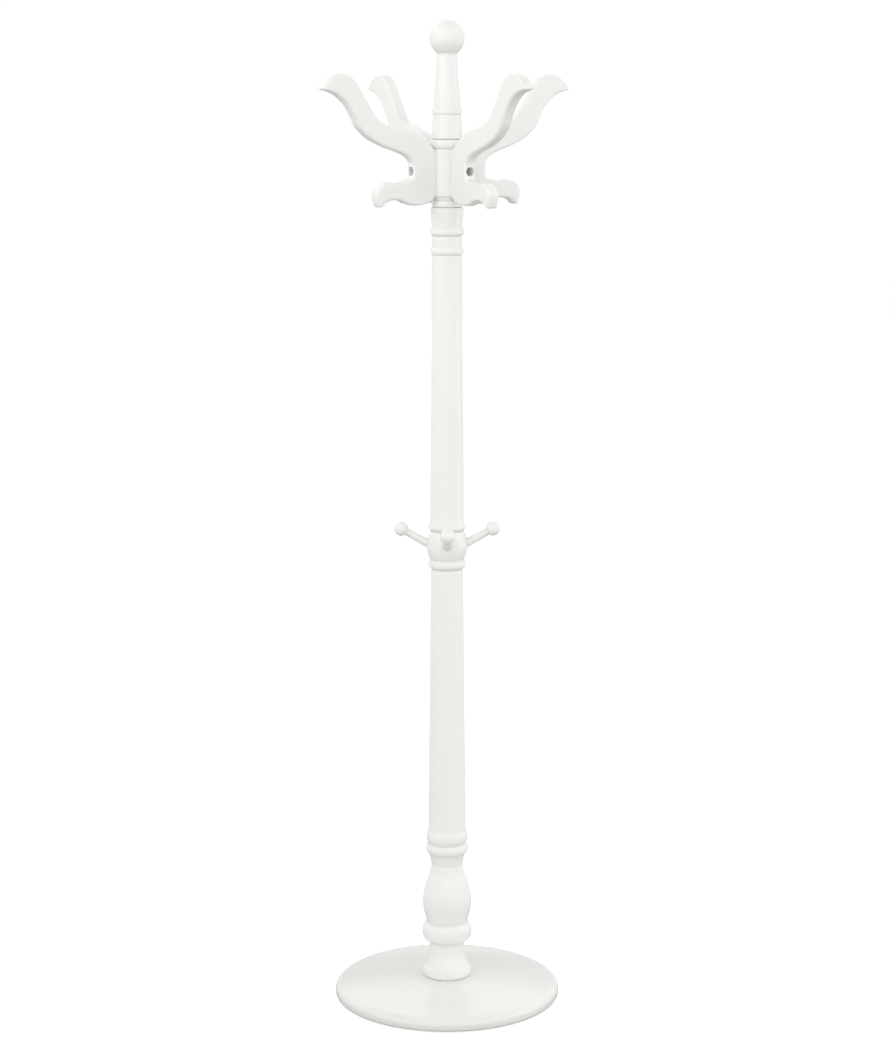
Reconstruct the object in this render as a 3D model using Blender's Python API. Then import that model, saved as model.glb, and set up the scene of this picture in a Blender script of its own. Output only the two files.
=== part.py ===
"""Standing coat rack: a turned post on a round base, with four double hooks at its head and four pegs midway.

Metres, +Z up. The origin is the middle of the base on the floor. The double hooks point along -X, -Y, +X, +Y.
"""
import math

import bmesh
import bpy
from mathutils import Matrix, Vector

# ---------------------------------------------------------------- driving dimensions
TOTAL_HEIGHT = 1.800
BASE_RADIUS = 0.2095
GAP = 0.0003            # clearance between pieces that touch
SIDES = 20              # facets round a turned piece
SMALL_SIDES = 12        # facets round a bolt, stud, insert, dowel, peg or glide

# planes where one turned section screws onto the next
GLIDE_HEIGHT = 0.003
BASE_TOP_Z = 0.038
BALUSTER_TOP_Z = 0.2945
LOWER_SHAFT_TOP_Z = 0.814
BARREL_TOP_Z = 0.885
UPPER_SHAFT_TOP_Z = 1.471
HUB_TOP_Z = 1.591

# double hooks: boards bolted to the side of the head
HOOK_COUNT = 4
HOOK_THICKNESS = 0.022
HOOK_EDGE_ROUND = 0.005
HOOK_BOLT_Z = 1.5355
HUB_RADIUS = 0.0310
HOOK_FACE_REACH = 0.0763
COUNTERBORE_DEPTH = 0.022
DOWEL_DROP = 0.0245     # the locating dowel sits this far below the hook's bolt

# pegs: turned pins that rise out of the barrel
PEG_COUNT = 4
PEG_FIRST_ANGLE = math.radians(-122.0)
PEG_RISE = math.radians(29.0)
PEG_ROOT_REACH = 0.0365
PEG_ROOT_Z = 0.8623
PEG_BALL_REACH = 0.0842
PEG_BALL_RADIUS = 0.0136
PEG_ROOT_RADIUS = 0.0081
PEG_NECK_RADIUS = 0.0073
PEG_TENON = 0.018

# hardware
STUD_RADIUS = 0.005
STUD_UP = 0.024         # length of a stud inside the section above the joint
STUD_DOWN = 0.022       # and inside the section below it
INSERT_RADIUS = 0.0075
INSERT_LENGTH = 0.020
SECTION_BORE_DEPTH = 0.025
BOLT_RADIUS = 0.004
BOLT_HEAD_RADIUS = 0.0065
BOLT_HEAD_HEIGHT = 0.008
BOLT_SOCKET_RADIUS = 0.0035
BOLT_SOCKET_DEPTH = 0.004
HOOK_INSERT_RADIUS = 0.006
HOOK_INSERT_LENGTH = 0.013
DOWEL_RADIUS = 0.003
DOWEL_LENGTH = 0.024
GLIDE_COUNT = 4
GLIDE_RADIUS = 0.012
GLIDE_REACH = 0.185
BASE_RECESS_RADIUS = 0.016
BASE_RECESS_DEPTH = 0.012
WASHER_THICKNESS = 0.002
BASE_BOLT_HEAD_RADIUS = 0.0095
BASE_BOLT_HEAD_HEIGHT = 0.0064
BASE_BOLT_UP = 0.030


# ---------------------------------------------------------------- materials
def material(name, colour, roughness, metallic=0.0):
    """A Principled material of one plain colour."""
    made = bpy.data.materials.new(name)
    made.use_nodes = True
    shader = made.node_tree.nodes["Principled BSDF"]
    shader.inputs["Base Color"].default_value = (*colour, 1.0)
    shader.inputs["Roughness"].default_value = roughness
    shader.inputs["Metallic"].default_value = metallic
    return made


# ---------------------------------------------------------------- outlines
def smooth(knots, steps):
    """A Catmull-Rom curve through the knots, with this many points from one knot to the next."""
    ends = [knots[0], *knots, knots[-1]]
    curve = []
    for before, start, end, after in zip(ends, ends[1:], ends[2:], ends[3:]):
        for step in range(steps):
            t = step / steps
            curve.append(tuple(
                0.5 * (2 * b + (c - a) * t + (2 * a - 5 * b + 4 * c - d) * t ** 2
                       + (3 * b - a - 3 * c + d) * t ** 3)
                for a, b, c, d in zip(before, start, end, after)))
    curve.append(knots[-1])
    return curve


def bead(edge_radius, peak_radius, top_z, bottom_z, steps=4):
    """The outside of a half-round ring, from its top edge down to its bottom edge."""
    middle = (top_z + bottom_z) / 2
    half = (top_z - bottom_z) / 2
    rise = peak_radius - edge_radius
    angles = [math.pi * step / steps for step in range(steps + 1)]
    return [(edge_radius + rise * math.sin(a), middle + half * math.cos(a)) for a in angles]


def quarter(start, end, steps=3):
    """A quarter of an ellipse that leaves start along the radius and reaches end along the height."""
    width = end[0] - start[0]
    height = end[1] - start[1]
    angles = [math.pi / 2 * step / steps for step in range(steps + 1)]
    return [(start[0] + width * math.sin(a), start[1] + height * (1 - math.cos(a))) for a in angles]


def blind_bore(radius, mouth_z, end_z):
    """The two corners of a round hole on the axis, in the order from its end to its mouth."""
    return [(0.0, end_z), (radius, end_z), (radius, mouth_z)]


# ---------------------------------------------------------------- meshes
def add_object(name, mesh, look, place=None):
    """Put a mesh in the scene as one named sub-part."""
    made = bpy.data.objects.new(name, mesh)
    made.data.materials.clear()
    made.data.materials.append(look)
    if place is not None:
        made.matrix_world = place
    bpy.context.collection.objects.link(made)
    return made


def finish_mesh(name, work):
    """Turn a bmesh into a mesh that faces out and is smooth over its round sides."""
    bmesh.ops.remove_doubles(work, verts=work.verts, dist=1e-6)
    bmesh.ops.recalc_face_normals(work, faces=work.faces)
    mesh = bpy.data.meshes.new(name)
    work.to_mesh(mesh)
    work.free()
    mesh.shade_smooth()
    mesh.set_sharp_from_angle(angle=math.radians(35))
    return mesh


def turned_mesh(name, outline, sides):
    """Turn an outline of (radius, height) points about Z. Its ends lie on the axis, or it closes on itself."""
    work = bmesh.new()
    rings = []
    for radius, height in outline:
        if radius == 0.0:
            rings.append([work.verts.new((0.0, 0.0, height))] * sides)
            continue
        angles = [2 * math.pi * side / sides for side in range(sides)]
        rings.append([work.verts.new((radius * math.cos(a), radius * math.sin(a), height)) for a in angles])
    on_axis = outline[0][0] == 0.0 and outline[-1][0] == 0.0
    pairs = list(zip(rings, rings[1:]))
    if not on_axis:
        pairs.append((rings[-1], rings[0]))
    for upper, lower in pairs:
        for side in range(sides):
            after = (side + 1) % sides
            corners = [upper[side], lower[side], lower[after], upper[after]]
            distinct = list(dict.fromkeys(corners))
            if len(distinct) > 2:
                work.faces.new(distinct)
    return finish_mesh(name, work)


def turned(name, outline, look, sides=SIDES, place=None):
    """A turned sub-part."""
    return add_object(name, turned_mesh(name, outline, sides), look, place)


def cutter(name, outline, place, sides=SMALL_SIDES):
    """A hidden turned solid that is cut out of another."""
    made = bpy.data.objects.new(name, turned_mesh(name, outline, sides))
    made.matrix_world = place
    made.hide_render = True
    made.display_type = "WIRE"
    bpy.context.collection.objects.link(made)
    return made


def carve(solid, tools):
    """Cut each tool out of a solid, keep the result as the solid's own mesh, and remove the tools."""
    for tool in tools:
        cut = solid.modifiers.new(tool.name, "BOOLEAN")
        cut.operation = "DIFFERENCE"
        cut.solver = "EXACT"
        cut.object = tool
    bpy.context.view_layer.update()
    graph = bpy.context.evaluated_depsgraph_get()
    carved = bpy.data.meshes.new_from_object(solid.evaluated_get(graph))
    solid.modifiers.clear()
    solid.data = carved
    carved.shade_smooth()
    carved.set_sharp_from_angle(angle=math.radians(35))
    for tool in tools:
        bpy.data.objects.remove(tool)


def along_x(height, angle=0.0, reach=0.0, rise=0.0):
    """A frame whose Z axis points outward from the post at this angle, and up by the rise."""
    turn = Matrix.Rotation(angle, 4, "Z")
    shift = Matrix.Translation((reach, 0.0, height))
    tip = Matrix.Rotation(math.pi / 2 - rise, 4, "Y")
    return turn @ shift @ tip


# ---------------------------------------------------------------- the turned sections, top to bottom
def stud_bore(joint_z):
    """The hole for a joint's stud, in the section above the joint."""
    return blind_bore(STUD_RADIUS + GAP, joint_z + GAP / 2, joint_z + SECTION_BORE_DEPTH)


def insert_bore(joint_z):
    """The hole for a joint's threaded insert, in the section below the joint, from its mouth to its end."""
    return blind_bore(INSERT_RADIUS + GAP, joint_z - GAP / 2, joint_z - SECTION_BORE_DEPTH)[::-1]


def finial(look):
    """Ball, tapered neck, bead and collar."""
    ball_radius = 0.0308
    ball_half_height = 0.0325
    ball_z = TOTAL_HEIGHT - ball_half_height
    neck_radius = 0.0182
    last_angle = math.pi - math.asin(neck_radius / ball_radius)
    ball_steps = 8
    angles = [last_angle * step / ball_steps for step in range(ball_steps + 1)]
    ball = [(ball_radius * math.sin(a), ball_z + ball_half_height * math.cos(a)) for a in angles]
    neck = [(0.0177, 1.7380), (0.0178, 1.7310), (0.0187, 1.7230), (0.0193, 1.7060), (0.0205, 1.6860),
            (0.0227, 1.6690), (0.0238, 1.6460)]
    collar = smooth([(0.0250, 1.632), (0.0257, 1.618), (0.0272, 1.598)], 2)
    outline = [
        (0.0, TOTAL_HEIGHT), *ball[1:], *neck, *bead(0.0244, 0.0264, 1.6435, 1.6345),
        *collar, (0.0272, HUB_TOP_Z + 0.002), (0.0258, HUB_TOP_Z + GAP / 2),
        *stud_bore(HUB_TOP_Z)[::-1]]
    return turned("finial", outline, look)


def head_hub(look):
    """Round head with a bead at each end, bored for the hooks' inserts and dowels."""
    outline = [
        *insert_bore(HUB_TOP_Z)[::-1], *bead(0.0282, 0.0322, HUB_TOP_Z - GAP, 1.5745),
        (HUB_RADIUS, 1.572), *smooth([(HUB_RADIUS, 1.4940), (0.0301, 1.4905), (0.0272, 1.4880)], 2),
        (0.0277, 1.4855), (0.0255, 1.4838),
        *bead(0.0258, 0.0275, 1.4832, UPPER_SHAFT_TOP_Z + GAP), *stud_bore(UPPER_SHAFT_TOP_Z)[::-1]]
    hub = turned("head_hub", outline, look)
    tools = []
    bolt_bore_end = HUB_RADIUS - HOOK_INSERT_LENGTH - 0.002
    dowel_bore_end = HUB_RADIUS - DOWEL_LENGTH / 2 - GAP
    beyond = HUB_RADIUS + 0.01
    for index in range(HOOK_COUNT):
        angle = 2 * math.pi * index / HOOK_COUNT
        bores = [("bolt", HOOK_BOLT_Z, HOOK_INSERT_RADIUS + GAP, bolt_bore_end),
                 ("dowel", HOOK_BOLT_Z - DOWEL_DROP, DOWEL_RADIUS + GAP, dowel_bore_end)]
        for kind, height, radius, end in bores:
            drill = [(0.0, beyond), (radius, beyond), (radius, end), (0.0, end)]
            tools.append(cutter(f"cut_{kind}_{index}", drill, along_x(height, angle)))
    carve(hub, tools)
    return hub


def upper_shaft(look):
    """Slender tapered section: two rings and a cove at its top, one ring at its foot."""
    outline = [
        *insert_bore(UPPER_SHAFT_TOP_Z)[::-1], (0.0280, UPPER_SHAFT_TOP_Z - GAP / 2), (0.0292, 1.4695),
        *smooth([(0.0292, 1.463), (0.0280, 1.450), (0.0268, 1.437)], 2),
        *bead(0.0272, 0.0304, 1.434, 1.421), (0.0258, 1.4200), (0.0268, 1.416), (0.0268, 1.401),
        *bead(0.0272, 0.0294, 1.399, 1.387), (0.0260, 1.3862), (0.0265, 1.383), (0.0296, 1.130),
        *smooth([(0.0312, 0.930), (0.0314, 0.9080), (0.0330, 0.8966)], 2),
        *bead(0.0335, 0.0351, 0.8958, 0.8886), (0.0308, 0.8868), (0.0306, BARREL_TOP_Z + GAP / 2),
        *stud_bore(BARREL_TOP_Z)[::-1]]
    return turned("upper_shaft", outline, look)


def peg_barrel(look):
    """Short barrel between the shafts, bored on a slant for the four pegs."""
    outline = [
        *insert_bore(BARREL_TOP_Z)[::-1], (0.0306, BARREL_TOP_Z - GAP / 2),
        *smooth([(0.0318, 0.8826), (0.0344, 0.8780), (0.0369, 0.8670), (0.0377, 0.8550), (0.0363, 0.8450),
                 (0.0332, 0.8350)], 2),
        (0.0313, 0.8330), (0.0311, 0.8312), *bead(0.0328, 0.0349, 0.8300, 0.8178, 6),
        (0.0292, 0.8164), (0.0290, LOWER_SHAFT_TOP_Z + GAP / 2),
        *stud_bore(LOWER_SHAFT_TOP_Z)[::-1]]
    barrel = turned("peg_barrel", outline, look)
    bore = PEG_ROOT_RADIUS + GAP
    drill = [(0.0, 0.03), (bore, 0.03), (bore, -PEG_TENON - GAP), (0.0, -PEG_TENON - GAP)]
    tools = [cutter(f"cut_peg_{index}", drill, peg_frame(index)) for index in range(PEG_COUNT)]
    carve(barrel, tools)
    return barrel


def lower_shaft(look):
    """Stouter tapered section that ends in a ring."""
    outline = [
        *insert_bore(LOWER_SHAFT_TOP_Z)[::-1], (0.0290, LOWER_SHAFT_TOP_Z - GAP / 2), (0.0300, 0.8108),
        (0.0350, 0.324), (0.0356, 0.3190), *bead(0.0362, 0.0388, 0.3175, 0.2985), (0.0352, 0.2970),
        (0.0350, BALUSTER_TOP_Z + GAP / 2),
        *stud_bore(BALUSTER_TOP_Z)[::-1]]
    return turned("lower_shaft", outline, look)


def baluster(look):
    """Ring, vase, bead and flared foot."""
    foot_z = BASE_TOP_Z + GAP
    cove = smooth([(0.0345, 0.2752), (0.0312, 0.265), (0.0292, 0.253)], 2)
    vase = smooth([(0.0330, 0.2345), (0.0398, 0.2155), (0.0443, 0.197), (0.0455, 0.181),
                   (0.0438, 0.164), (0.0380, 0.144)], 2)
    flare = smooth([(0.0330, 0.097), (0.0334, 0.078), (0.0385, 0.061), (0.0448, 0.053)], 2)
    outline = [
        *insert_bore(BALUSTER_TOP_Z)[::-1], (0.0350, BALUSTER_TOP_Z - GAP / 2),
        *bead(0.0368, 0.0396, 0.2925, 0.2770), *cove, *vase,
        *bead(0.0376, 0.0463, 0.1415, 0.1060), (0.0340, 0.1030), *flare,
        (0.0455, 0.049), (0.0455, 0.042), (0.0435, foot_z),
        (INSERT_RADIUS + GAP, foot_z), (INSERT_RADIUS + GAP, BASE_TOP_Z + BASE_BOLT_UP + 0.004),
        (0.0, BASE_TOP_Z + BASE_BOLT_UP + 0.004)]
    return turned("baluster", outline, look)


def base_disc(look):
    """Heavy round base, slightly domed, with a rounded rim and a recess for its bolt."""
    seat_radius = 0.047
    rim_start = (0.1915, 0.0262)
    fall = BASE_TOP_Z - rim_start[1]
    steps = 5
    parts = [step / steps for step in range(steps + 1)]
    dome = [(seat_radius + (rim_start[0] - seat_radius) * t, BASE_TOP_Z - fall * t ** 1.6) for t in parts]
    recess_top = GLIDE_HEIGHT + BASE_RECESS_DEPTH
    bore = STUD_RADIUS + 0.0005
    outline = [
        (bore, BASE_TOP_Z), *dome, *quarter(rim_start, (BASE_RADIUS, 0.0125), 4)[1:],
        (BASE_RADIUS, 0.0065), (BASE_RADIUS - 0.002, GLIDE_HEIGHT),
        (BASE_RECESS_RADIUS, GLIDE_HEIGHT), (BASE_RECESS_RADIUS, recess_top), (bore, recess_top)]
    return turned("base_disc", outline, look, sides=36)


# ---------------------------------------------------------------- double hooks
def hook_outline(steps):
    """A double hook seen from its side, as (reach from the post's axis, height above its bolt).

    It runs out along the top of the upper arm, back under it, down the bolted face, out along the lower
    hook and back beneath. Returned with the places of its two beaks.
    """
    top = smooth([(0.0200, 0.0280), (0.0360, 0.0425), (0.0550, 0.0575), (0.0850, 0.0700), (0.1250, 0.0802),
                  (0.1480, 0.0930), (0.1720, 0.1265), (0.1900, 0.1545), (0.2050, 0.1665), (0.2200, 0.1695),
                  (0.2360, 0.1660), (0.2500, 0.1550), (0.2575, 0.1425)], steps)
    under = smooth([(0.2575, 0.1425), (0.2455, 0.1392), (0.2270, 0.1315), (0.2090, 0.1160), (0.1960, 0.0960),
                    (0.1860, 0.0770), (0.1640, 0.0580), (0.1350, 0.0440), (0.1060, 0.0345), (0.0870, 0.0262),
                    (0.0780, 0.0165), (HOOK_FACE_REACH, 0.0060)], steps)
    lower_top = smooth([(HOOK_FACE_REACH, -0.0060), (0.0800, -0.0130), (0.0940, -0.0172), (0.1080, -0.0200),
                        (0.1210, -0.0184), (0.1330, -0.0190), (0.1440, -0.0245), (0.1510, -0.0340),
                        (0.1518, -0.0440), (0.1462, -0.0610)], steps)
    lower_under = smooth([(0.1462, -0.0610), (0.1380, -0.0590), (0.1300, -0.0530), (0.1170, -0.0497),
                          (0.1040, -0.0502), (0.0900, -0.0560), (0.0720, -0.0600), (0.0520, -0.0580),
                          (0.0360, -0.0525), (0.0240, -0.0400)], steps)
    beaks = [Vector(under[0]), Vector(lower_under[0])]
    return [Vector(point) for point in top[:-1] + under + lower_top[:-1] + lower_under], beaks


def inset(outline, amounts):
    """Move each point of a clockwise outline inward by its own amount."""
    moved = []
    count = len(outline)
    for index, point in enumerate(outline):
        along = (outline[(index + 1) % count] - outline[index - 1]).normalized()
        moved.append(point + Vector((along.y, -along.x)) * amounts[index])
    return moved


def hook_board():
    """The mesh of a double hook with its long edges rounded over, its reach along X, its thickness along Y."""
    outline, beaks = hook_outline(1)
    full_distance = 0.022
    least = 0.2
    rounding = []
    for point in outline:
        nearest = min((point - beak).length for beak in beaks)
        rounding.append(HOOK_EDGE_ROUND * min(1.0, least + (1 - least) * nearest / full_distance))
    half = HOOK_THICKNESS / 2
    work = bmesh.new()
    rings = []
    for side, angles in ((-1, (90, 45, 0)), (1, (0, 45, 90))):
        for angle in angles:
            lean = math.radians(angle)
            pulled = inset(outline, [radius * (1 - math.cos(lean)) for radius in rounding])
            rings.append([
                work.verts.new((place.x, side * (half - radius * (1 - math.sin(lean))), place.y))
                for place, radius in zip(pulled, rounding)])
    count = len(outline)
    for near, far in zip(rings, rings[1:]):
        for index in range(count):
            after = (index + 1) % count
            work.faces.new((near[index], near[after], far[after], far[index]))
    work.faces.new(rings[0][::-1])
    work.faces.new(rings[-1])
    return finish_mesh("hook", work)


def hooks(look):
    """Four equal double hooks, hollowed to sit on the round head and drilled for a bolt and a dowel."""
    first = add_object("hook_1", hook_board(), look)
    seat = HUB_RADIUS + GAP
    seat_tool = [(0.0, 0.08), (seat, 0.08), (seat, -0.08), (0.0, -0.08)]
    shank = BOLT_RADIUS + GAP
    recess = BOLT_HEAD_RADIUS + 0.0013
    recess_floor = HOOK_FACE_REACH - COUNTERBORE_DEPTH
    bolt_tool = [(0.0, 0.1), (recess, 0.1), (recess, recess_floor), (shank, recess_floor), (shank, 0.01),
                 (0.0, 0.01)]
    dowel = DOWEL_RADIUS + GAP
    dowel_end = HUB_RADIUS + DOWEL_LENGTH / 2 + GAP
    dowel_tool = [(0.0, dowel_end), (dowel, dowel_end), (dowel, 0.01), (0.0, 0.01)]
    carve(first, [cutter("cut_seat", seat_tool, Matrix(), SIDES),
                  cutter("cut_bolt", bolt_tool, along_x(0.0)),
                  cutter("cut_dowel", dowel_tool, along_x(-DOWEL_DROP))])
    for index in range(HOOK_COUNT):
        place = Matrix.Translation((0.0, 0.0, HOOK_BOLT_Z)) @ Matrix.Rotation(hook_angle(index), 4, "Z")
        if index == 0:
            first.matrix_world = place
        else:
            add_object(f"hook_{index + 1}", first.data, look, place)


def hook_angle(index):
    """Hook 1 points along -X, and the others follow counter-clockwise."""
    return math.pi + 2 * math.pi * index / HOOK_COUNT


def hook_hardware(steel, brass, beech):
    """For each hook: a socket-head bolt, the threaded insert it drives into, and a locating dowel."""
    head_base = HOOK_FACE_REACH - COUNTERBORE_DEPTH + GAP
    head_top = head_base + BOLT_HEAD_HEIGHT
    bolt_tip = HUB_RADIUS - HOOK_INSERT_LENGTH
    socket_floor = head_top - BOLT_SOCKET_DEPTH
    bolt = [(0.0, socket_floor), (BOLT_SOCKET_RADIUS, socket_floor), (BOLT_SOCKET_RADIUS, head_top),
            (BOLT_HEAD_RADIUS - 0.0008, head_top), (BOLT_HEAD_RADIUS, head_top - 0.0008),
            (BOLT_HEAD_RADIUS, head_base), (BOLT_RADIUS, head_base), (BOLT_RADIUS, bolt_tip), (0.0, bolt_tip)]
    insert_out = HUB_RADIUS - 0.0012
    insert_in = HUB_RADIUS - HOOK_INSERT_LENGTH
    insert = [(BOLT_RADIUS + GAP, insert_out), (HOOK_INSERT_RADIUS, insert_out),
              (HOOK_INSERT_RADIUS, insert_in), (BOLT_RADIUS + GAP, insert_in)]
    out = HUB_RADIUS + DOWEL_LENGTH / 2
    into = HUB_RADIUS - DOWEL_LENGTH / 2
    dowel = [(0.0, out), (DOWEL_RADIUS, out), (DOWEL_RADIUS, into), (0.0, into)]
    for index in range(HOOK_COUNT):
        angle = hook_angle(index)
        at_bolt = along_x(HOOK_BOLT_Z, angle)
        at_dowel = along_x(HOOK_BOLT_Z - DOWEL_DROP, angle)
        turned(f"hook_bolt_{index + 1}", bolt, steel, SMALL_SIDES, at_bolt)
        turned(f"hook_insert_{index + 1}", insert, brass, SMALL_SIDES, at_bolt)
        turned(f"hook_dowel_{index + 1}", dowel, beech, SMALL_SIDES, at_dowel)


# ---------------------------------------------------------------- pegs
def peg_frame(index):
    """A peg's own frame: its origin on the barrel's surface, its Z axis along the peg."""
    angle = PEG_FIRST_ANGLE + 2 * math.pi * index / PEG_COUNT
    return along_x(PEG_ROOT_Z, angle, PEG_ROOT_REACH, PEG_RISE)


def pegs(look):
    """Four turned pegs: a tenon in the barrel, a tapered stem and a ball."""
    ball_at = (PEG_BALL_REACH - PEG_ROOT_REACH) / math.cos(PEG_RISE)
    last_angle = math.pi - math.asin(PEG_NECK_RADIUS / PEG_BALL_RADIUS)
    steps = 6
    angles = [last_angle * step / steps for step in range(steps + 1)]
    ball = [(PEG_BALL_RADIUS * math.sin(a), ball_at + PEG_BALL_RADIUS * math.cos(a)) for a in angles]
    outline = [(0.0, ball_at + PEG_BALL_RADIUS), *ball[1:], (PEG_ROOT_RADIUS, 0.0),
               (PEG_ROOT_RADIUS, -PEG_TENON), (0.0, -PEG_TENON)]
    for index in range(PEG_COUNT):
        turned(f"peg_{index + 1}", outline, look, SMALL_SIDES, peg_frame(index))


# ---------------------------------------------------------------- hidden hardware of the post
def threaded_insert(name, top_z, look):
    """A threaded sleeve, flush with the end of its section."""
    bore = STUD_RADIUS + GAP
    bottom_z = top_z - INSERT_LENGTH
    outline = [(bore, top_z), (INSERT_RADIUS, top_z), (INSERT_RADIUS, bottom_z), (bore, bottom_z)]
    turned(name, outline, look, SMALL_SIDES)


def section_joints(steel, brass):
    """A stud and a threaded insert at each joint between two turned sections."""
    joints = {"finial": HUB_TOP_Z, "hub": UPPER_SHAFT_TOP_Z, "upper_shaft": BARREL_TOP_Z,
              "barrel": LOWER_SHAFT_TOP_Z, "lower_shaft": BALUSTER_TOP_Z}
    for section, joint_z in joints.items():
        top = joint_z + STUD_UP
        bottom = joint_z - STUD_DOWN
        stud = [(0.0, top), (STUD_RADIUS, top), (STUD_RADIUS, bottom), (0.0, bottom)]
        turned(f"stud_under_{section}", stud, steel, SMALL_SIDES)
        threaded_insert(f"insert_under_{section}", joint_z - GAP, brass)


def base_fixing(steel, brass):
    """The bolt that pulls the post down onto its base, with its washer and the insert in the foot."""
    recess_top = GLIDE_HEIGHT + BASE_RECESS_DEPTH
    washer_top = recess_top - GAP
    washer_bottom = washer_top - WASHER_THICKNESS
    bore = STUD_RADIUS + 0.0005
    rim = BASE_RECESS_RADIUS - 0.0015
    washer = [(bore, washer_top), (rim, washer_top), (rim, washer_bottom), (bore, washer_bottom)]
    turned("base_washer", washer, steel, SIDES)
    head_top = washer_bottom - GAP
    head_bottom = head_top - BASE_BOLT_HEAD_HEIGHT
    tip = BASE_TOP_Z + BASE_BOLT_UP
    head = [(0.0, head_top), (BASE_BOLT_HEAD_RADIUS, head_top), (BASE_BOLT_HEAD_RADIUS, head_bottom),
            (0.0, head_bottom)]
    shank = [(0.0, tip), (STUD_RADIUS, tip), (STUD_RADIUS, head_top - 0.001), (0.0, head_top - 0.001)]
    bolt = turned("base_bolt", shank, steel, SMALL_SIDES)
    hex_head = bpy.data.objects.new("bolt_head", turned_mesh("bolt_head", head, 6))
    bpy.context.collection.objects.link(hex_head)
    join = bolt.modifiers.new("head", "BOOLEAN")
    join.operation = "UNION"
    join.solver = "EXACT"
    join.object = hex_head
    bpy.context.view_layer.update()
    graph = bpy.context.evaluated_depsgraph_get()
    bolt.data = bpy.data.meshes.new_from_object(bolt.evaluated_get(graph))
    bolt.modifiers.clear()
    bpy.data.objects.remove(hex_head)
    threaded_insert("insert_in_foot", BASE_TOP_Z + 2 * GAP + INSERT_LENGTH, brass)


def glides(look):
    """Four low glides under the base, near its rim."""
    top = GLIDE_HEIGHT - GAP
    outline = [(0.0, top), (GLIDE_RADIUS, top), (GLIDE_RADIUS, 0.0008), (GLIDE_RADIUS - 0.0008, 0.0),
               (0.0, 0.0)]
    for index in range(GLIDE_COUNT):
        angle = math.pi / 4 + 2 * math.pi * index / GLIDE_COUNT
        place = Matrix.Translation((GLIDE_REACH * math.cos(angle), GLIDE_REACH * math.sin(angle), 0.0))
        turned(f"glide_{index + 1}", outline, look, SMALL_SIDES, place)


def main():
    """Clear the scene and build the whole rack."""
    for old in list(bpy.data.objects):
        bpy.data.objects.remove(old)
    lacquer = material("white_lacquer", (0.86, 0.85, 0.82), 0.32)
    steel = material("zinc_steel", (0.55, 0.56, 0.57), 0.35, 1.0)
    brass = material("brass", (0.72, 0.55, 0.26), 0.35, 1.0)
    beech = material("beech", (0.66, 0.47, 0.29), 0.7)
    nylon = material("nylon", (0.75, 0.75, 0.73), 0.5)
    finial(lacquer)
    head_hub(lacquer)
    upper_shaft(lacquer)
    peg_barrel(lacquer)
    lower_shaft(lacquer)
    baluster(lacquer)
    base_disc(lacquer)
    hooks(lacquer)
    hook_hardware(steel, brass, beech)
    pegs(lacquer)
    section_joints(steel, brass)
    base_fixing(steel, brass)
    glides(nylon)


main()
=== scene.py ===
"""Looks of the standing coat rack: fine lacquered meshes, a pale floor and soft studio light.

Metres, +Z up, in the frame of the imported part. Every place comes from the boxes of the CAD nodes.
"""
import bisect
import math

import bmesh
import bpy
from mathutils import Matrix, Vector


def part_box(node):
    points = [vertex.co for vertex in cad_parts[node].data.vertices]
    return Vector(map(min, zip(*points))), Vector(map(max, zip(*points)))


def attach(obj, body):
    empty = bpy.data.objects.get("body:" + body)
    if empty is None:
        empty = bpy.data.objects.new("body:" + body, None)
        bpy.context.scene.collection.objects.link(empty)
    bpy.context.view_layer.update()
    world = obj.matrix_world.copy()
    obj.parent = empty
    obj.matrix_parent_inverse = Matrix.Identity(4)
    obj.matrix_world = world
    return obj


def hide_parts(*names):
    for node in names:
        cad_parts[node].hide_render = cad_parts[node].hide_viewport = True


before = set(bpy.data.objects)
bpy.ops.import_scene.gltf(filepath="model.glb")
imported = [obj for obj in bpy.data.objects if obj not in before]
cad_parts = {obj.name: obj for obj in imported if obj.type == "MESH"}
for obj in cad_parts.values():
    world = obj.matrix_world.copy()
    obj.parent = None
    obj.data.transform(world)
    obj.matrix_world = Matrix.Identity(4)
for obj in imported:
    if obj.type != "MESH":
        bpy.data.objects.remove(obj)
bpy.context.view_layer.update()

GAP = 0.0003                 # clearance between pieces that touch
POST_SIDES = 96              # facets round a turned piece
SMALL_SIDES = 48             # facets round a bolt, peg or glide
SOFT_CORNER = 0.0007         # radius that sanding and lacquer leave on a turned corner
SHARP_ANGLE = math.radians(32)      # an edge that turns further than this stays sharp
MERGE_DISTANCE = 1e-6        # points nearer than this are one point
EVEN = (1.0, 1.0, 1.0)       # noise that is not stretched along any axis
BODY = "root"


# ---------------------------------------------------------------- node tree helpers
def new_tree(material):
    """Empty a material's node tree and return it with its Principled shader, joined to the output."""
    material.use_nodes = True
    tree = material.node_tree
    tree.nodes.clear()
    out = tree.nodes.new("ShaderNodeOutputMaterial")
    shader = tree.nodes.new("ShaderNodeBsdfPrincipled")
    tree.links.new(shader.outputs["BSDF"], out.inputs["Surface"])
    return tree, shader


def noise(tree, stretch, scale, detail=3.0, roughness=0.5):
    """Noise over the object's own coordinates, stretched by a scale for each axis. Returns its value."""
    place = tree.nodes.new("ShaderNodeTexCoord")
    mapping = tree.nodes.new("ShaderNodeMapping")
    mapping.inputs["Scale"].default_value = stretch
    texture = tree.nodes.new("ShaderNodeTexNoise")
    texture.inputs["Scale"].default_value = scale
    texture.inputs["Detail"].default_value = detail
    texture.inputs["Roughness"].default_value = roughness
    tree.links.new(place.outputs["Object"], mapping.inputs["Vector"])
    tree.links.new(mapping.outputs["Vector"], texture.inputs["Vector"])
    return texture.outputs["Fac"]


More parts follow.
